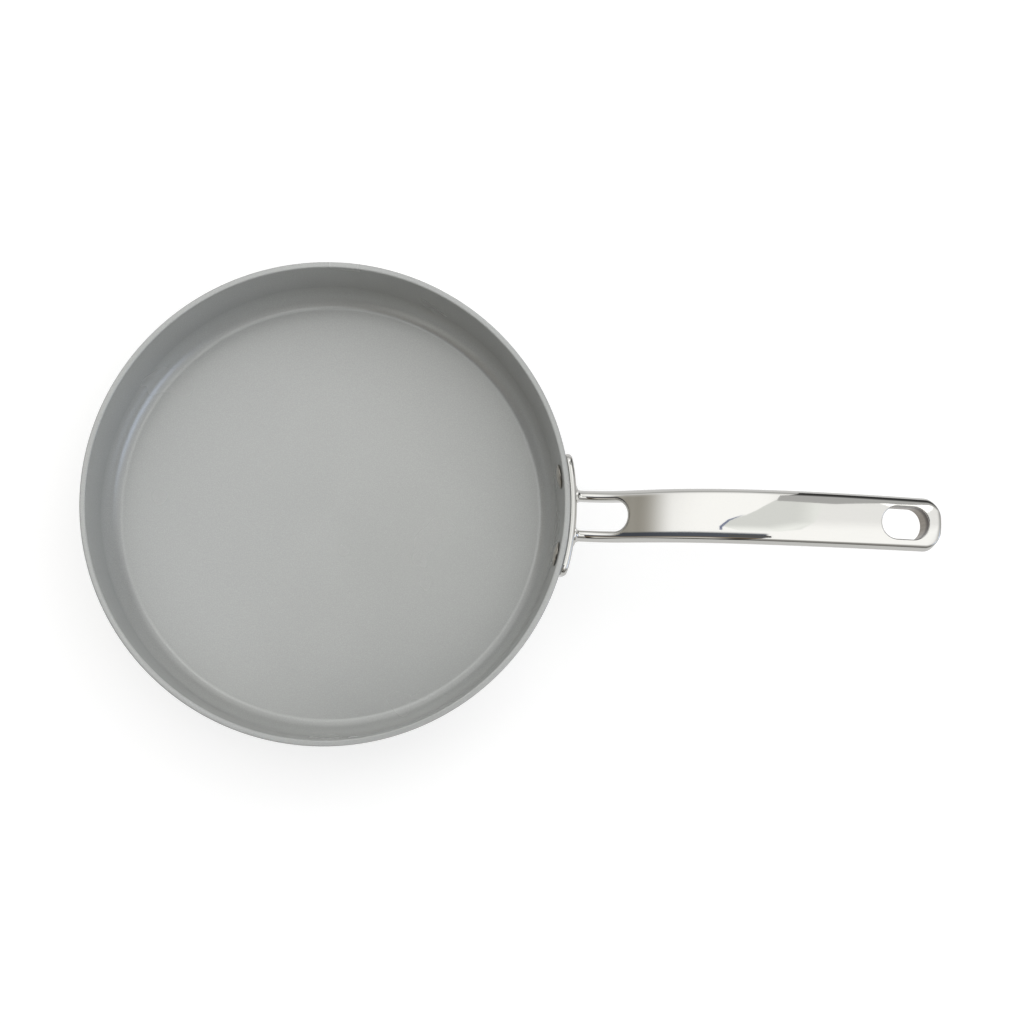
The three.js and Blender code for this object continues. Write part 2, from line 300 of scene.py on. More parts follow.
def round_off(obj, kind, test, reach, steps):
    """Rounds the open mesh's edges that pass a test, and leaves the new faces selected"""
    select(obj, kind, test)
    bpy.ops.mesh.bevel(offset=reach, segments=steps, affect="EDGES", clamp_overlap=False, loop_slide=False)


def reshape(obj, rule):
    """Moves every vertex of an object by a rule"""
    deselect()
    for vertex in obj.data.vertices:
        vertex.co = rule(*vertex.co)


def spread(first, last, steps):
    """Evenly spaced values, both ends included"""
    return [first + (last - first) * i / steps for i in range(steps + 1)]


def arc(x, z, radius, first, last, steps):
    """Points of an arc in the XZ plane, both ends included"""
    return [(x + radius * cos(a), 0, z + radius * sin(a)) for a in spread(first, last, steps)]


def between(first, last, steps):
    """Points on the way between two others, neither included"""
    return [tuple(Vector(first).lerp(Vector(last), i / steps)) for i in range(1, steps)]


def settle(obj, name, node, material):
    """Names a finished piece, gives it its finish and sets it on its body"""
    take(obj)
    bpy.ops.object.transform_apply(location=True, rotation=True, scale=True)
    bpy.ops.object.shade_smooth_by_angle(angle=SMOOTH_ANGLE)
    apply(obj, "WEIGHTED_NORMAL", keep_sharp=True)
    obj.name = name
    obj.data.name = name
    obj.data.materials.clear()
    obj.data.materials.append(material)
    obj.data.polygons.foreach_set("material_index", [0] * len(obj.data.polygons))
    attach(obj, BODY)
    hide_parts(node)


# Materials

# A step between two values that starts and ends softly
SOFT = "SMOOTHSTEP"


def add(tree, kind, settings=(), links=()):
    """Adds a node with its settings, and links its inputs to other nodes' outputs"""
    node = tree.nodes.new(kind)
    for name, value in dict(settings).items():
        if isinstance(name, str) and hasattr(node, name):
            setattr(node, name, value)
        else:
            node.inputs[name].default_value = value
    for name, output in dict(links).items():
        tree.links.new(output, node.inputs[name])
    return node


def socket(shader, name):
    """A shader's own socket, by its name in small letters"""
    return shader.inputs[name.replace("_", " ").title().replace("Ior", "IOR")]


def start(name, **settings):
    """A new material with settings on its shader's own sockets"""
    material = bpy.data.materials.new(name)
    material.use_nodes = True
    tree = material.node_tree
    shader = tree.nodes["Principled BSDF"]
    for entry, value in settings.items():
        socket(shader, entry).default_value = value
    return material, tree, shader


def join(tree, shader, **outputs):
    """Links outputs of nodes to a shader's own sockets"""
    for entry, output in outputs.items():
        tree.links.new(output, socket(shader, entry))


def satin_coating(colours):
    # Ceramic non-stick coating sprayed over pressed aluminium: satin light grey with metallic grit, drawn
    # out round the vessel, so that the light lies on it in soft wedges. The grit is about 0.1 mm and is
    # drawn coarser, at 0.5 mm, so that it shows.
    material, tree, shader = start("satin_ceramic_coating", metallic=0.26, anisotropic=0.4)
    place = add(tree, "ShaderNodeTexCoord").outputs["Object"]
    grit = add(tree, "ShaderNodeTexNoise", {"Scale": 1 / (0.5 * MM), "Detail": 1.0}, {"Vector": place})
    cloud = add(tree, "ShaderNodeTexNoise", {"Scale": 1 / (40 * MM), "Detail": 2.0}, {"Vector": place})
    grit_level = grit.outputs["Fac"]
    cloud_level = cloud.outputs["Fac"]
    speckle = add(tree, "ShaderNodeMapRange", {"From Min": 0.4, "From Max": 0.75}, {"Value": grit_level})
    tones = {"data_type": "RGBA", 6: colours.coating, 7: colours.coating_grit}
    tone = add(tree, "ShaderNodeMix", tones, {0: speckle.outputs[0]})
    mottle = add(tree, "ShaderNodeMapRange", {"To Min": 0.97, "To Max": 1.03}, {"Value": cloud_level})
    mottled = {0: tone.outputs[2], "Scale": mottle.outputs[0]}
    clouded = add(tree, "ShaderNodeVectorMath", {"operation": "SCALE"}, mottled)
    gloss = add(tree, "ShaderNodeMapRange", {"To Min": 0.24, "To Max": 0.29}, {"Value": cloud_level})
    relief = add(tree, "ShaderNodeBump", {"Strength": 0.06, "Distance": 0.01 * MM}, {"Height": grit_level})
    around = add(tree, "ShaderNodeTangent", {"direction_type": "RADIAL", "axis": "Z"})
    join(tree, shader, base_color=clouded.outputs[0], roughness=gloss.outputs[0])
    join(tree, shader, normal=relief.outputs[0], tangent=around.outputs[0])
    return material


def turned_steel(colours):
    # Ferritic stainless steel faced on a lathe: fine circular grain, drawn at 0.9 mm where the real one
    # is about 0.2 mm, that spreads each highlight into a fan.
    material, tree, shader = start("turned_stainless_steel", metallic=1.0, anisotropic=0.7)
    place = add(tree, "ShaderNodeTexCoord").outputs["Object"]
    level = add(tree, "ShaderNodeVectorMath", {"operation": "MULTIPLY", 1: (1, 1, 0)}, {0: place})
    radius = add(tree, "ShaderNodeVectorMath", {"operation": "LENGTH"}, {0: level.outputs[0]})
    rings = {"noise_dimensions": "1D", "Scale": 1 / (0.9 * MM), "Detail": 3.0, "Roughness": 0.6}
    grain = add(tree, "ShaderNodeTexNoise", rings, {"W": radius.outputs["Value"]}).outputs["Fac"]
    tones = {"data_type": "RGBA", 6: colours.base_groove, 7: colours.base_steel}
    tone = add(tree, "ShaderNodeMix", tones, {0: grain})
    gloss = add(tree, "ShaderNodeMapRange", {"To Min": 0.42, "To Max": 0.24}, {"Value": grain})
    relief = add(tree, "ShaderNodeBump", {"Strength": 0.5, "Distance": 0.02 * MM}, {"Height": grain})
    around = add(tree, "ShaderNodeTangent", {"direction_type": "RADIAL", "axis": "Z"})
    join(tree, shader, base_color=tone.outputs[2], roughness=gloss.outputs[0])
    join(tree, shader, normal=relief.outputs[0], tangent=around.outputs[0])
    return material


def mirror_steel(colours):
    # Stainless steel ground and polished on a wheel: sharp reflections, a faint haze in lengthwise
    # polishing lines about 0.4 mm apart, and slow waves about 25 mm long where the wheel bore on it.
    material, tree, shader = start("mirror_polished_stainless_steel", metallic=1.0)
    place = add(tree, "ShaderNodeTexCoord").outputs["Object"]
    spacing = {"Scale": (1 / (30 * MM), 1 / (0.4 * MM), 1 / (0.4 * MM))}
    drawn = add(tree, "ShaderNodeMapping", spacing, {0: place}).outputs[0]
    haze = add(tree, "ShaderNodeTexNoise", {"Scale": 1.0, "Detail": 2.0}, {"Vector": drawn})
    lines = haze.outputs["Fac"]
    waves = add(tree, "ShaderNodeTexNoise", {"Scale": 1 / (25 * MM), "Detail": 0.0}, {"Vector": place})
    height = waves.outputs["Fac"]
    gloss = add(tree, "ShaderNodeMapRange", {"To Min": 0.02, "To Max": 0.055}, {"Value": lines})
    shade = add(tree, "ShaderNodeMapRange", {"To Min": 0.975, "To Max": 1.01}, {"Value": lines})
    steel = {"operation": "SCALE", 0: colours.polished_steel[:3]}
    tone = add(tree, "ShaderNodeVectorMath", steel, {"Scale": shade.outputs[0]})
    relief = add(tree, "ShaderNodeBump", {"Strength": 1.0, "Distance": 0.03 * MM}, {"Height": height})
    join(tree, shader, base_color=tone.outputs[0], roughness=gloss.outputs[0], normal=relief.outputs[0])
    return material


def drawn_steel(colours):
    # Stainless sheet drawn into a sleeve and left as it came from the die: dull brownish grey, with
    # streaks about 0.5 mm wide down the hole that blur what it mirrors, and a dark brownish painted
    # shade over the upper 5 mm.
    material, tree, shader = start("drawn_stainless_steel", metallic=1.0)
    place = add(tree, "ShaderNodeTexCoord").outputs["Object"]
    spacing = {"Scale": (1 / (0.5 * MM), 1 / (0.5 * MM), 1 / (15 * MM))}
    drawn = add(tree, "ShaderNodeMapping", spacing, {0: place}).outputs[0]
    marks = add(tree, "ShaderNodeTexNoise", {"Scale": 1.0, "Detail": 2.0}, {"Vector": drawn})
    streaks = marks.outputs["Fac"]
    tones = {"data_type": "RGBA", 6: colours.sleeve_streak, 7: colours.sleeve_steel}
    tone = add(tree, "ShaderNodeMix", tones, {0: streaks})
    height = add(tree, "ShaderNodeSeparateXYZ", links={0: place}).outputs["Z"]
    # Painted shade: the sleeve turns dark brownish over its upper 5 mm
    band = {"From Min": grip_high.z - 7.5 * MM, "From Max": grip_high.z - 3 * MM}
    painted_shade_band = add(tree, "ShaderNodeMapRange", {"interpolation_type": SOFT, **band}, {"Value": height})
    painted_shade_tones = {"data_type": "RGBA", 7: colours.sleeve_painted_shade}
    painted_shaded = add(tree, "ShaderNodeMix", painted_shade_tones, {0: painted_shade_band.outputs[0], 6: tone.outputs[2]})
    gloss = add(tree, "ShaderNodeMapRange", {"To Min": 0.3, "To Max": 0.16}, {"Value": streaks})
    join(tree, shader, base_color=painted_shaded.outputs[2], roughness=gloss.outputs[0])
    return material


def tumbled_steel(colours):
    # Stainless rivet, tumbled and then set with a hammer: darker than the handle, still glossy, with
    # soft dints about 1.5 mm across.
    material, tree, shader = start("tumbled_stainless_steel", metallic=1.0)
    place = add(tree, "ShaderNodeTexCoord").outputs["Object"]
    marks = add(tree, "ShaderNodeTexNoise", {"Scale": 1 / (1.5 * MM), "Detail": 2.0}, {"Vector": place})
    dints = marks.outputs["Fac"]
    tones = {"data_type": "RGBA", 6: colours.rivet_dint, 7: colours.rivet_steel}
    tone = add(tree, "ShaderNodeMix", tones, {0: dints})
    gloss = add(tree, "ShaderNodeMapRange", {"To Min": 0.2, "To Max": 0.1}, {"Value": dints})
    relief = add(tree, "ShaderNodeBump", {"Strength": 0.8, "Distance": 0.06 * MM}, {"Height": dints})
    join(tree, shader, base_color=tone.outputs[2], roughness=gloss.outputs[0], normal=relief.outputs[0])
    return material


# Vessel, base disc and rivets


def outer_radius(size, z):
    """Radius of the vessel's outer wall at a height"""
    return size.rim_radius - (size.rim_height - z) * tan(size.draft)


def bracket_middle(size):
    """Height of the bracket plate's middle"""
    return fork_low.z + size.bracket_height / 2


def bracket_face(size):
    """Radius of the bracket plate's outer face at its middle"""
    return outer_radius(size, bracket_middle(size)) + size.bracket_gap + size.bracket_thickness


def inside_corner(size):
    """The corner inside the vessel: a long flank down from the wall, then a tight bend into the floor"""
    bend_end = size.bend_angle - pi / 2
    bend_z = size.underside + size.floor + size.corner_bend
    apart = size.corner_flank - size.corner_bend
    flank_z = bend_z + apart * cos(size.bend_angle)
    flank_centre = outer_radius(size, flank_z) - size.wall - size.corner_flank / cos(size.draft)
    floor_radius = flank_centre + apart * sin(size.bend_angle)
    flank = arc(flank_centre, flank_z, size.corner_flank, -size.draft, bend_end, 16)
    bend_in = arc(floor_radius, bend_z, size.corner_bend, bend_end, -pi / 2, 8)
    return flank + bend_in[1:]


def vessel_profile(size):
    """The vessel's profile, from the middle of its underside round the rim to the middle of its floor"""
    recess = size.disc_radius + 2 * HAIRLINE
    outside_z = size.underside + size.outside_corner
    outside_centre = outer_radius(size, outside_z) - size.outside_corner / cos(size.draft)
    edge_z = size.rim_height - size.rim_round
    outer_edge = size.rim_radius - size.rim_round
    inner_edge = size.rim_radius - size.wall + size.rim_round
    underside = [(r, 0, size.disc_thickness) for r in spread(0, recess, 4)]
    wall_out = arc(outside_centre, outside_z, size.outside_corner, -pi / 2, -size.draft, 14)
    rim = arc(outer_edge, edge_z, size.rim_round, 0, pi / 2, 5)
    rim += arc(inner_edge, edge_z, size.rim_round, pi / 2, pi, 5)
    corner = inside_corner(size)
    middle = (0, 0, size.underside + size.floor)
    return [
        *underside,
        (recess, 0, size.underside),
        *wall_out,
        *between(wall_out[-1], rim[0], 6),
        *rim,
        *between(rim[-1], corner[0], 6),
        *corner,
        *between(corner[-1], middle, 9),
        middle,
    ]


def make_vessel(size, material):
    vessel = turn(vessel_profile(size), (0, 0, 1), TURN_STEPS)
    for side in (1, -1):
        combine(vessel, aim(rivet_blank(size, HAIRLINE), size, side), "DIFFERENCE")
    settle(vessel, "vessel", "pan_body", material)


def make_base_disc(size, material):
    top = size.disc_thickness - HAIRLINE
    profile = [(r, 0, 0) for r in spread(0, size.disc_radius - size.disc_chamfer, 6)]
    profile += [(size.disc_radius, 0, size.disc_chamfer), (size.disc_radius, 0, top), (0, 0, top)]
    disc = turn(profile, (0, 0, 1), TURN_STEPS)
    settle(disc, "base_disc", "base_plate", material)


def rivet_blank(size, grow):
    """A rivet along X, or with grow the hole that clears it"""
    head = size.rivet_head
    shank = size.rivet_shank + grow
    tail = size.rivet_tail + grow
    wall = outer_radius(size, bracket_middle(size)) - size.wall
    bulge = wall - sqrt(wall**2 - head**2)
    seat = wall - bulge - head * tan(size.draft) - HAIRLINE
    face = bracket_face(size)
    dome = (head**2 + size.rivet_dome**2) / (2 * size.rivet_dome)
    dome_centre = seat - size.rivet_edge - size.rivet_dome + dome
    profile = [(dome_centre - dome * cos(a), 0, dome * sin(a)) for a in spread(0, asin(head / dome), 10)]
    profile += [(seat, 0, head), (seat, 0, shank)]
    if grow:
        through = face + size.bracket_thickness
        profile += [(face - tail + shank, 0, shank), (face, 0, tail), (through, 0, tail), (through, 0, 0)]
    else:
        edge = face + size.rivet_proud
        profile.append((edge - tail + shank, 0, shank))
        profile += [(edge + size.rivet_crown * (1 - (r / tail) ** 2), 0, r) for r in spread(tail, 0, 6)]
    return turn(profile, (1, 0, 0), RIVET_STEPS)


def aim(rivet, size, side):
    """Sets a rivet, or its hole, in its place on one side of the handle"""
    take(rivet)
    rivet.location.z = bracket_middle(size)
    rivet.rotation_euler.z = side * asin(size.rivet_spacing / 2 / outer_radius(size, bracket_middle(size)))
    bpy.ops.object.transform_apply(location=True, rotation=True, scale=True)
    return rivet


def make_rivets(size, material):
    left = rivet_blank(size, 0)
    apply(left, "BEVEL", width=size.rivet_round, segments=3, limit_method="ANGLE", angle_limit=radians(40))
    take(left)
    bpy.ops.object.duplicate()
    right = bpy.context.object
    for rivet, side, name in ((left, 1, "left"), (right, -1, "right")):
        aim(rivet, size, side)
        settle(rivet, f"set_rivet_{name}", f"rivet_{name}", material)


# Handle, modelled straight along X and then bent


def handle_line(size):
    """The four points that draw the handle's line, from the bracket plate to the tip"""
    face = bracket_face(size)
    root = Vector((face, 0, bracket_middle(size) + size.handle_root))
    tip = Vector((face + size.handle_reach, 0, size.rim_height + size.tip_height))
    back = Vector((-cos(size.tip_fall), 0, sin(size.tip_fall)))
    return root, root + Vector((size.root_pull, 0, 0)), tip + back * size.tip_pull, tip


def line_length(size):
    """Length of the handle's line"""
    root, first, second, tip = handle_line(size)
    points = [
        root * (1 - t) ** 3 + first * (3 * t * (1 - t) ** 2) + second * (3 * t * t * (1 - t)) + tip * t**3
        for t in spread(0, 1, MEASURE_STEPS)
    ]
    return sum((b - a).length for a, b in zip(points, points[1:]))


def bend(obj, size):
    """Bends a straight piece along the handle's line"""
    root, first, second, tip = handle_line(size)
    deselect()
    bpy.ops.curve.primitive_bezier_curve_add()
    line = bpy.context.object
    line.data.dimensions = "3D"
    line.data.twist_mode = "Z_UP"
    line.data.resolution_u = LINE_STEPS
    line.data.use_stretch = False
    line.data.use_deform_bounds = False
    for knot, place, before, after in zip(
        line.data.splines[0].bezier_points, (root, tip), (root, second), (first, tip)
    ):
        knot.handle_left_type = "FREE"
        knot.handle_right_type = "FREE"
        knot.co = place
        knot.handle_left = before
        knot.handle_right = after
    apply(obj, "CURVE", object=line, deform_axis="POS_X")
    bpy.data.objects.remove(line)


def handle_bar(size, first, last):
    """A straight bar with the handle's section: flat top, sloped shoulders and a round belly"""
    half = size.handle_width / 2
    top = half - size.shoulder_inset
    belly = [(first, half * cos(a), size.belly_tip * sin(a)) for a in spread(pi, 2 * pi, 28)]
    bar = draw([(first, top, size.shoulder_rise), (first, -top, size.shoulder_rise), *belly], closed=True)
    bpy.ops.mesh.edge_face_add()
    bpy.ops.mesh.extrude_region_move(TRANSFORM_OT_translate={"value": (last - first, 0, 0)})
    tidy(bar)
    return bar


def oval_tool(first, last, radius):
    """An upright prism with round ends, to cut a slot through the bar"""
    deselect()
    centre = last - radius
    bpy.ops.mesh.primitive_cylinder_add(
        vertices=SLOT_STEPS, radius=radius, depth=TOOL_DEPTH, location=(centre, 0, 0)
    )
    tool = bpy.context.object
    bpy.ops.object.transform_apply(location=True)
    edit(tool)
    select(tool, "VERT", lambda v: v.co.x < centre - HAIRLINE)
    bpy.ops.transform.translate(value=(first + 2 * radius - last, 0, 0))
    bpy.ops.object.mode_set(mode="OBJECT")
    return tool


def along(edge):
    """Whether an edge runs along the bar"""
    step = edge.verts[1].co - edge.verts[0].co
    return abs(step.x) > NEARLY * step.length


def round_edges(obj, size):
    """Rounds the bar's two top edges and its two widest lines"""
    half = size.handle_width / 2

    def line_at(y, z):
        def test(edge):
            middle = (edge.verts[0].co + edge.verts[1].co) / 2
            return along(edge) and abs(abs(middle.y) - y) < HAIRLINE and abs(middle.z - z) < HAIRLINE

        return test

    edit(obj)
    round_off(obj, "EDGE", line_at(half - size.shoulder_inset, size.shoulder_rise), size.edge_round, 6)
    round_off(obj, "EDGE", line_at(half, 0), size.side_round, 4)


def slot_wall(first, last, radius):
    """A test for the upright wall of a slot"""

    def test(face):
        middle = face.calc_center_median()
        inside = first - HAIRLINE < middle.x < last + HAIRLINE and abs(middle.y) < radius + HAIRLINE
        return inside and abs(face.normal.z) < WALL_RISE

    return test


def slot_rim(wall):
    """A test for the upper rim of a slot's wall"""

    def test(edge):
        faces = edge.link_faces
        return any(wall(f) for f in faces) and any(f.normal.z > UPWARD_RISE for f in faces)

    return test


def fillet(distance, radius):
    """What a fillet adds to a side, at a distance from the face that it runs into"""
    left = min(max(radius - distance, 0), radius)
    return radius - sqrt(radius**2 - left**2)


def cut_stations(obj, size, stations):
    """Cuts the straight bar across, and its top face lengthwise, so that it can take curves"""
    top = size.handle_width / 2 - size.shoulder_inset - size.edge_round
    edit(obj)
    for station in stations:
        bpy.ops.mesh.select_all(action="SELECT")
        slice_at((station, 0, 0), (1, 0, 0))
    for y in spread(-top, top, 14)[1:-1]:
        select(obj, "FACE", lambda f: f.normal.z > TOP_RISE)
        slice_at((0, y, 0), (0, 1, 0))


def form_handle(obj, size, dip):
    """Gives the straight bar its swell, crown, belly, fillets and nose, and a dip towards the seam"""
    whole = line_length(size)
    half = size.handle_width / 2
    top = half - size.shoulder_inset
    arm_middle = (half + size.window_width / 2) / 2
    arm_half = (half - size.window_width / 2) / 2

    def rule(x, y, z):
        share = min(max(x / whole, 0), 1)
        swell = 1 + size.handle_swell / size.handle_width * sin(pi * share)
        into_nose = min(max((x - whole + size.nose) / size.nose, 0), 1)
        into_seam = min(max((x - size.fork_length + size.seam_reach) / size.seam_reach, 0), 1)
        narrowing = sqrt(1 - into_nose**2)
        thinning = sqrt(1 - into_nose**NOSE_BLUNTNESS)
        if z > 0:
            crown = size.crown * (1 - (y / top) ** 2) - dip * into_seam**2 * (3 - 2 * into_seam)
            tall = 1 + crown / size.shoulder_rise
        else:
            tall = (size.belly_root + (size.belly_tip - size.belly_root) * share) / size.belly_tip
        flare = fillet(x, size.arm_fillet)
        across = abs(y) + flare * (abs(y) - arm_middle) / arm_half
        side = 1 if y > 0 else -1
        height = (z * tall + flare * z / size.belly_root) * thinning
        return Vector((x, side * across * swell * narrowing, height))

    reshape(obj, rule)
    tidy(obj)


def bracket_plate(size):
    """The plate on the wall: a slab with round corners and edges, wrapped to the vessel"""
    deselect()
    thick = size.bracket_thickness + size.bracket_gap - HAIRLINE
    bpy.ops.mesh.primitive_cube_add(size=1)
    plate = bpy.context.object
    plate.scale = (thick, size.bracket_width, size.bracket_height)
    bpy.ops.object.transform_apply(scale=True)
    edit(plate)
    round_off(plate, "EDGE", along, size.bracket_corner, 8)
    for face, reach in ((thick / 2, size.bracket_edge), (-thick / 2, size.bracket_inner_edge)):
        round_off(plate, "EDGE", lambda e: all(abs(v.co.x - face) < HAIRLINE for v in e.verts), reach, 5)
    for y in spread(-size.bracket_width / 2, size.bracket_width / 2, 46)[1:-1]:
        bpy.ops.mesh.select_all(action="SELECT")
        slice_at((0, y, 0), (0, 1, 0))
    outer = bracket_face(size)
    middle = bracket_middle(size)

    def wrap(x, y, z):
        radius = outer - thick / 2 + x + z * tan(size.draft)
        turned = y / outer
        return Vector((radius * cos(turned), radius * sin(turned), middle + z))

    reshape(plate, wrap)
    tidy(plate)
    return plate


def make_fork(size, material):
    root = -size.bracket_thickness / 2
    radius = size.window_width / 2
    beyond = root - 2 * radius
    fork = handle_bar(size, root, size.fork_length)
    combine(fork, oval_tool(beyond, size.window_length, radius), "DIFFERENCE")
    window = slot_wall(beyond, size.window_length, radius)
    edit(fork)
    round_off(fork, "EDGE", slot_rim(window), size.window_round, 7)
    round_edges(fork, size)
    end = size.fork_length - HAIRLINE
    select(fork, "FACE", lambda f: f.normal.x > NEARLY and f.calc_center_median().x > end)
    bpy.ops.mesh.inset(thickness=size.shell + HAIRLINE, use_even_offset=True)
    bpy.ops.mesh.extrude_region_move(TRANSFORM_OT_translate={"value": (size.spigot, 0, 0)})
    stations = [size.arm_fillet * (i / 8) ** 2 for i in range(9)]
    stations += spread(size.arm_fillet, size.fork_length, 28)[1:-1]
    cut_stations(fork, size, stations)
    form_handle(fork, size, size.seam_dip)
    bend(fork, size)
    combine(fork, bracket_plate(size), "UNION")
    for side in (1, -1):
        combine(fork, aim(rivet_blank(size, HAIRLINE), size, side), "DIFFERENCE")
    settle(fork, "fork", "handle_fork", material)


# Parts that the grip's skin is marked with
UPPER, LOWER, SLEEVE, OPEN_END = range(4)


def mark(obj, part):
    """Marks the open mesh's selected faces as belonging to a part of the grip"""
    mesh = bmesh.from_edit_mesh(obj.data)
    for face in mesh.faces:
        if face.select:
            face.material_index = part
    bmesh.update_edit_mesh(obj.data)


def hole_tool(size, grow):
    """A prism that cuts the hang hole, or with grow the opening that clears its sleeve"""
    end = line_length(size) - size.hole_to_tip
    return oval_tool(end - size.hole_length - grow, end + grow, size.hole_width / 2 + grow)


def grip_skin(size):
    """The grip's whole outer skin with its hang hole, still straight, with its parts marked"""
    whole = line_length(size)
    first = size.fork_length + HAIRLINE
    end = whole - size.hole_to_tip
    skin = handle_bar(size, first, whole)
    combine(skin, hole_tool(size, 0), "DIFFERENCE")
    wall = slot_wall(end - size.hole_length, end, size.hole_width / 2)
    edit(skin)
    select(skin, "FACE", wall)
    mark(skin, SLEEVE)
    round_off(skin, "EDGE", slot_rim(wall), size.hole_lip, 5)
    mark(skin, UPPER)
    round_edges(skin, size)
    stations = spread(first, whole - size.nose, 74)[1:]
    stations += [whole - size.nose + size.nose * sin(a) for a in spread(0, pi / 2, 16)[1:-1]]
    cut_stations(skin, size, stations)
    select(skin, "FACE", lambda f: f.material_index != SLEEVE)
    slice_at((0, 0, 0), (0, 0, 1))
    select(skin, "FACE", lambda f: f.material_index != SLEEVE and f.calc_center_median().z < 0)
    mark(skin, LOWER)
    select(skin, "FACE", lambda f: f.normal.x < -NEARLY and f.calc_center_median().x < first + HAIRLINE)
    mark(skin, OPEN_END)
    form_handle(skin, size, 0)
    return skin


def grip_part(size, part, thickness):
    """One part of the grip, still straight: its share of the skin, given its thickness"""
    sheet = grip_skin(size)
    edit(sheet)
    select(sheet, "FACE", lambda f: f.material_index != part)
    bpy.ops.mesh.delete(type="FACE")
    apply(sheet, "SOLIDIFY", thickness=thickness, offset=-1, use_quality_normals=True)
    return sheet


def make_grip_shells(size, material):
    upper = grip_part(size, UPPER, size.shell)
    bend(upper, size)
    settle(upper, "grip_top", "grip_upper_shell", material)
    lower = grip_part(size, LOWER, size.shell)
    opening = hole_tool(size, size.sleeve_sheet + HAIRLINE)
    form_handle(opening, size, 0)
    combine(lower, opening, "DIFFERENCE")
    bend(lower, size)
    settle(lower, "grip_underside", "grip_lower_shell", material)


def make_sleeve(size, material):
    sleeve = grip_part(size, SLEEVE, size.sleeve_sheet)
    bend(sleeve, size)
    settle(sleeve, "hang_hole_lining", "hang_hole_sleeve", material)


# Stage

# The studio's sky, looked up at from the pan and drawn flat: (0, 0) is overhead and 1 is the horizon.
# The sky and its panels have a colour and a strength, and a panel has soft straight edges: the way that
# an edge faces, in degrees, its place and its softness.
SKY = ("#ffffff", 1.34)
PANELS = {
    "right ceiling": ("#ffffff", 1.12, ((0, -0.02, 0.12), (95, 0.03, 0.06))),
    "right low": ("#ffffff", 0.85, ((-25, 0.28, 0.2),)),
    "right window": (
        "#d6e4ff",
        4.0,
        ((-27, 0.61, 0.08), (153, -0.82, 0.08), (63, -0.36, 0.16), (-117, -0.36, 0.16)),
    ),
    "left end": ("#fffaee", 0.56, ((180, 0.50, 0.20), (-90, -0.24, 0.10))),
    "near flag": ("#dfe9ff", 0.15, ((-90, 0.018, 0.012), (180, 0.056, 0.012))),
    "flag's hem": ("#ffe2bd", 0.34, ((-90, 0.30, 0.08), (90, -0.42, 0.04), (180, 0.056, 0.012))),
    "flag's foot": ("#fff0dc", 0.09, ((-90, 0.44, 0.06), (180, 0.056, 0.012))),
    "table's end": ("#fffdf8", 1.15, ((-90, 0.46, 0.08), (180, 0.16, 0.12), (90, -0.72, 0.12))),
    "near sweep": ("#fffdf8", 0.50, ((-90, 0.40, 0.20), (0, -0.056, 0.012))),
}

# The sky's share of its light at the horizon, how far from overhead it starts to fade, the light from
# below the horizon, and the floor's own glow and width
HORIZON = 0.32
FADE_START = 0.25
FLOOR_BOUNCE = 0.72
FLOOR_GLOW = 0.60
FLOOR_WIDTH = 6

# Cards near the pan, which only show where a surface mirrors them, and the key light's softbox. Each has
# its colour, its outline and its strength at two heights.
CARDS = {
    "grey card": (
        "#ffffff",
        [(0.29, 0.25, 0), (0.176, 0.25, 0.95), (0.40, 0.25, 0.98), (0.90, 0.25, 0.45), (0.90, 0.25, 0)],
        ((0.18, 0.05), (0.56, 0.54)),
    ),
    "ceiling card": (
        "#fdfffd",
        [
            (-0.23, 0.03, 1.165),
            (-0.15, 0.10, 1.186),
            (-0.04, 0.15, 1.201),
            (0.03, 0.21, 1.219),
            (0.15, 0.35, 1.261),
            (0.25, 0.44, 1.288),
            (0.36, 0.44, 1.159),
            (0.37, 0.23, 1.159),
            (0.34, 0.09, 1.159),
            (0.28, 0.01, 1.159),
            (0.18, -0.02, 1.15),
            (-0.08, -0.02, 1.15),
        ],
        ((1.15, 1.25), (1.17, 0.94)),
    ),
    "ceiling card's edge": (
        "#c8d4ff",
        [
            (-0.23, -0.02, 1.14),
            (-0.23, 0.02, 1.14),
            (-0.155, 0.095, 1.14),
            (-0.03, 0.15, 1.14),
            (-0.14, 0.085, 1.14),
            (-0.205, 0.01, 1.14),
            (-0.205, -0.02, 1.14),
        ],
        ((0, 0.4), (2, 0.4)),
    ),
    "camera's own reflection": (
        "#ffffff",
        [(-0.06, -0.23, 0.88), (0.16, -0.23, 0.88), (0.16, -0.07, 0.88), (-0.06, -0.07, 0.88)],
        ((0, 0.12), (2, 0.12)),
    ),
    "softbox": (
        "#ffffff",
        [(0.33, 1.25, 0.9), (1.15, 0.65, 0.9), (0.90, 0.35, 1.6), (0.20, 0.90, 1.6)],
        ((0, 1.9), (2, 1.9)),
    ),
}

# Camera: its focal length in pixels of a picture 1024 wide, its place, and the picture's right and up
PICTURE = 1024
FOCAL = 1516
SENSOR = 36
CAMERA_PLACE = (0.0528, -0.1032, 0.86596)
CAMERA_RIGHT = (0.99681, 0.04854, 0.0634)
CAMERA_UP = (-0.05599, 0.99101, 0.1215)


def soft_edge(tree, flat, degrees, place, softness):
    """A panel's edge: 0 outside, 1 inside, with a soft step between"""
    facing = (cos(radians(degrees)), sin(radians(degrees)), 0)
    across = add(tree, "ShaderNodeVectorMath", {"operation": "DOT_PRODUCT", 1: facing}, {0: flat})
    low, high = place - softness / 2, place + softness / 2
    step = {"interpolation_type": SOFT, "From Min": low, "From Max": high}
    return add(tree, "ShaderNodeMapRange", step, {"Value": across.outputs["Value"]}).outputs[0]


def strong(hex_colour, strength):
    """A light's colour times its strength"""
    return (*(c * strength for c in linear(hex_colour)[:3]), 1)


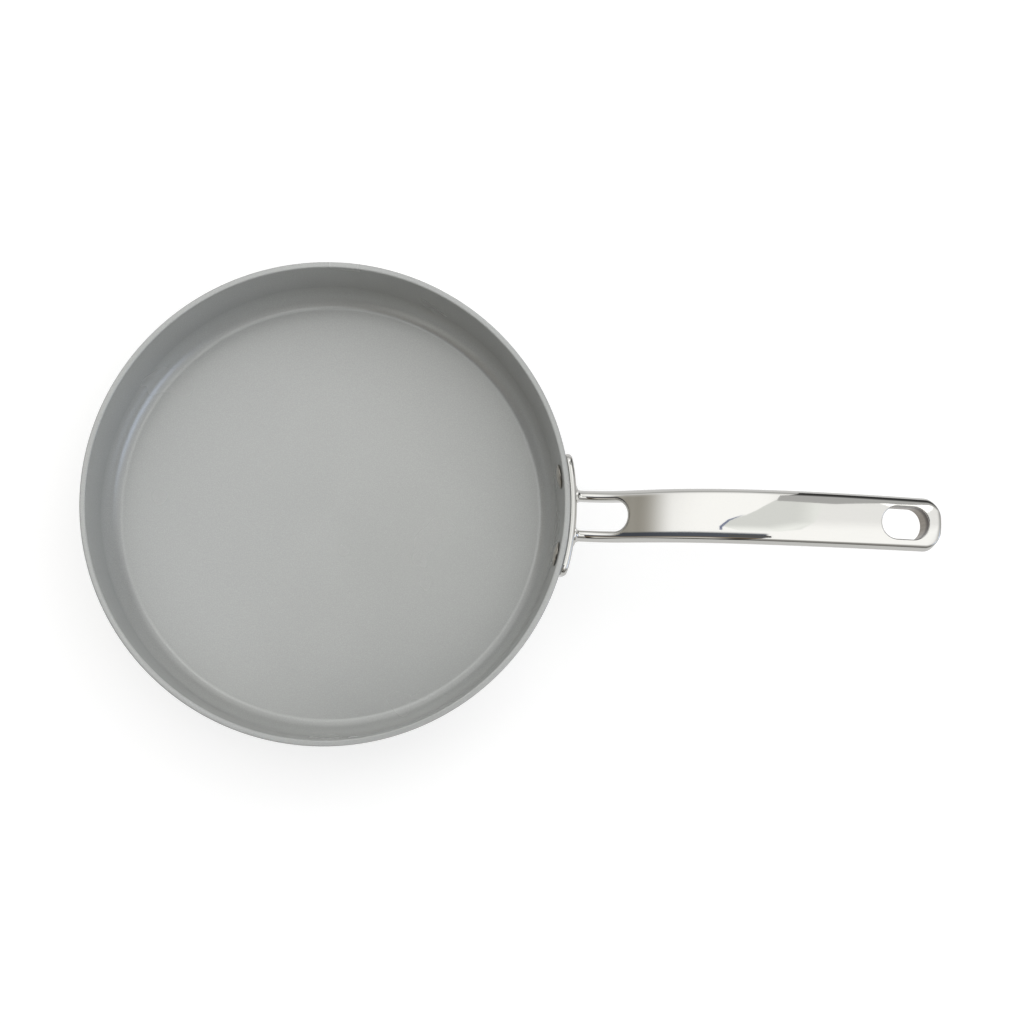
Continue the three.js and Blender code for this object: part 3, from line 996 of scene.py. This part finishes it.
def make_sky():
    """Lights the stage by panels of sky, with a plain white backdrop behind the stage"""
    world = bpy.data.worlds.new("studio")
    bpy.context.scene.world = world
    world.use_nodes = True
    tree = world.node_tree
    tree.nodes.clear()
    way = add(tree, "ShaderNodeTexCoord").outputs["Generated"]
    rise = add(tree, "ShaderNodeSeparateXYZ", links={0: way}).outputs["Z"]
    deep = add(tree, "ShaderNodeMath", {"operation": "ADD", 1: 1.0}, {0: rise})
    shrink = add(tree, "ShaderNodeMath", {"operation": "DIVIDE", 0: 1.0}, {1: deep.outputs[0]}).outputs[0]
    flat = add(tree, "ShaderNodeVectorMath", {"operation": "SCALE"}, {0: way, "Scale": shrink}).outputs[0]
    apart = add(tree, "ShaderNodeVectorMath", {"operation": "MULTIPLY", 1: (1, 1, 0)}, {0: flat})
    times = {"operation": "MULTIPLY"}
    tone = None
    for tint, strength, edges in PANELS.values():
        inside = None
        for edge in edges:
            step = soft_edge(tree, flat, *edge)
            if inside:
                step = add(tree, "ShaderNodeMath", times, {0: inside, 1: step}).outputs[0]
            inside = step
        tones = {"data_type": "RGBA", 6: strong(*SKY), 7: strong(tint, strength)}
        panel = add(tree, "ShaderNodeMix", tones, {0: inside})
        if tone:
            tree.links.new(tone, panel.inputs[6])
        tone = panel.outputs[2]
    out = add(tree, "ShaderNodeVectorMath", {"operation": "LENGTH"}, {0: apart.outputs[0]})
    down = {"interpolation_type": SOFT, "From Min": FADE_START, "To Min": 1.0, "To Max": HORIZON}
    fade = add(tree, "ShaderNodeMapRange", down, {"Value": out.outputs["Value"]}).outputs[0]
    dimmed = add(tree, "ShaderNodeVectorMath", {"operation": "SCALE"}, {0: tone, "Scale": fade})
    under = add(tree, "ShaderNodeMath", {"operation": "LESS_THAN", 1: 0.0}, {0: rise})
    bounce = {"data_type": "RGBA", 7: strong("#ffffff", FLOOR_BOUNCE)}
    light = add(tree, "ShaderNodeMix", bounce, {0: under.outputs[0], 6: dimmed.outputs[0]})
    studio = add(tree, "ShaderNodeBackground", links={"Color": light.outputs[2]})
    backdrop = add(tree, "ShaderNodeBackground", {"Color": linear("#ffffff")})
    seen = add(tree, "ShaderNodeLightPath")
    views = {0: seen.outputs["Is Camera Ray"], 1: studio.outputs[0], 2: backdrop.outputs[0]}
    mix = add(tree, "ShaderNodeMixShader", links=views)
    add(tree, "ShaderNodeOutputWorld", links={"Surface": mix.outputs[0]})


def make_floor(colours):
    """A matt pale floor with a glow of its own, which shows shadows but stays out of the reflections"""
    deselect()
    bpy.ops.mesh.primitive_plane_add(size=FLOOR_WIDTH)
    floor = bpy.context.object
    floor.name = "stage_floor"
    material, _, _ = start(
        "matt_paper",
        roughness=0.9,
        specular_ior_level=0.0,
        base_color=colours.stage,
        emission_color=linear("#ffffff"),
        emission_strength=FLOOR_GLOW,
    )
    floor.data.materials.append(material)
    floor.visible_glossy = False
    floor.visible_diffuse = False
    floor.visible_shadow = False


def make_cards():
    """The cards and the softbox, which the camera never sees and which cast no shadows"""
    for name, (tint, outline, (low, high)) in CARDS.items():
        card = draw(outline, closed=True)
        bpy.ops.mesh.edge_face_add()
        deselect()
        card.name = name.replace(" ", "_").replace("'s", "")
        material, tree, shader = start(
            card.name,
            roughness=0.9,
            specular_ior_level=0.0,
            base_color=linear("#000000"),
            emission_color=linear(tint),
        )
        place = add(tree, "ShaderNodeTexCoord").outputs["Object"]
        height = add(tree, "ShaderNodeSeparateXYZ", links={0: place}).outputs["Z"]
        rise = {"interpolation_type": SOFT, "From Min": low[0], "From Max": high[0]}
        rise |= {"To Min": low[1], "To Max": high[1]}
        glow = add(tree, "ShaderNodeMapRange", rise, {"Value": height})
        join(tree, shader, emission_strength=glow.outputs[0])
        material.cycles.emission_sampling = "NONE"
        card.data.materials.append(material)
        card.visible_camera = False
        card.visible_diffuse = name == "softbox"
        card.visible_shadow = False


def make_camera():
    """A camera at the photograph's viewing angle"""
    deselect()
    right, up = Vector(CAMERA_RIGHT), Vector(CAMERA_UP)
    turned = Matrix((right, up, right.cross(up))).transposed().to_4x4()
    bpy.ops.object.camera_add()
    camera = bpy.context.object
    camera.data.sensor_width = SENSOR
    camera.data.lens = FOCAL / PICTURE * SENSOR
    camera.data.clip_start = 10 * MM
    camera.matrix_world = Matrix.Translation(CAMERA_PLACE) @ turned
    bpy.context.scene.camera = camera


# Operators


class PAN_OT_vessel(Operator):
    """Turn the coated vessel"""

    bl_idname = "pan.vessel"
    bl_label = "Vessel"

    def execute(self, context):
        make_vessel(context.scene.pan_sizes, satin_coating(context.scene.pan_colours))
        return {"FINISHED"}


class PAN_OT_base_disc(Operator):
    """Turn the steel disc in the vessel's underside"""

    bl_idname = "pan.base_disc"
    bl_label = "Base disc"

    def execute(self, context):
        make_base_disc(context.scene.pan_sizes, turned_steel(context.scene.pan_colours))
        return {"FINISHED"}


class PAN_OT_fork(Operator):
    """Shape the bracket plate with its two arms and spigot"""

    bl_idname = "pan.fork"
    bl_label = "Fork"

    def execute(self, context):
        make_fork(context.scene.pan_sizes, mirror_steel(context.scene.pan_colours))
        return {"FINISHED"}


class PAN_OT_grip_shells(Operator):
    """Shape the two shells of the hollow grip"""

    bl_idname = "pan.grip_shells"
    bl_label = "Grip shells"

    def execute(self, context):
        make_grip_shells(context.scene.pan_sizes, mirror_steel(context.scene.pan_colours))
        return {"FINISHED"}


class PAN_OT_sleeve(Operator):
    """Shape the sleeve that lines the hang hole"""

    bl_idname = "pan.sleeve"
    bl_label = "Hang hole sleeve"

    def execute(self, context):
        make_sleeve(context.scene.pan_sizes, drawn_steel(context.scene.pan_colours))
        return {"FINISHED"}


class PAN_OT_rivets(Operator):
    """Set the two rivets"""

    bl_idname = "pan.rivets"
    bl_label = "Rivets"

    def execute(self, context):
        make_rivets(context.scene.pan_sizes, tumbled_steel(context.scene.pan_colours))
        return {"FINISHED"}


class PAN_OT_stage(Operator):
    """Set up the pale floor, the studio light and the camera"""

    bl_idname = "pan.stage"
    bl_label = "Stage"

    def execute(self, context):
        make_floor(context.scene.pan_colours)
        make_cards()
        make_camera()
        make_sky()
        context.scene.view_settings.view_transform = "Standard"
        return {"FINISHED"}


OPERATORS = (
    PAN_OT_vessel,
    PAN_OT_base_disc,
    PAN_OT_fork,
    PAN_OT_grip_shells,
    PAN_OT_sleeve,
    PAN_OT_rivets,
    PAN_OT_stage,
)


class PAN_PT_sidebar(Panel):
    bl_idname = "PAN_PT_sidebar"
    bl_label = "Frying pan"
    bl_space_type = "VIEW_3D"
    bl_region_type = "UI"
    bl_category = "Pan"

    def draw(self, context):
        for entry in OPERATORS:
            self.layout.operator(entry.bl_idname)
        for group in (context.scene.pan_sizes, context.scene.pan_colours):
            for name in group.__annotations__:
                self.layout.prop(group, name)


CLASSES = (PanSizes, PanColours, *OPERATORS, PAN_PT_sidebar)


def register():
    for entry in CLASSES:
        bpy.utils.register_class(entry)
    bpy.types.Scene.pan_sizes = PointerProperty(type=PanSizes)
    bpy.types.Scene.pan_colours = PointerProperty(type=PanColours)


def unregister():
    del bpy.types.Scene.pan_colours
    del bpy.types.Scene.pan_sizes
    for entry in reversed(CLASSES):
        bpy.utils.unregister_class(entry)


def main():
    register()
    bpy.ops.pan.vessel()
    bpy.ops.pan.base_disc()
    bpy.ops.pan.fork()
    bpy.ops.pan.grip_shells()
    bpy.ops.pan.sleeve()
    bpy.ops.pan.rivets()
    bpy.ops.pan.stage()


if __name__ == "__main__":
    main()
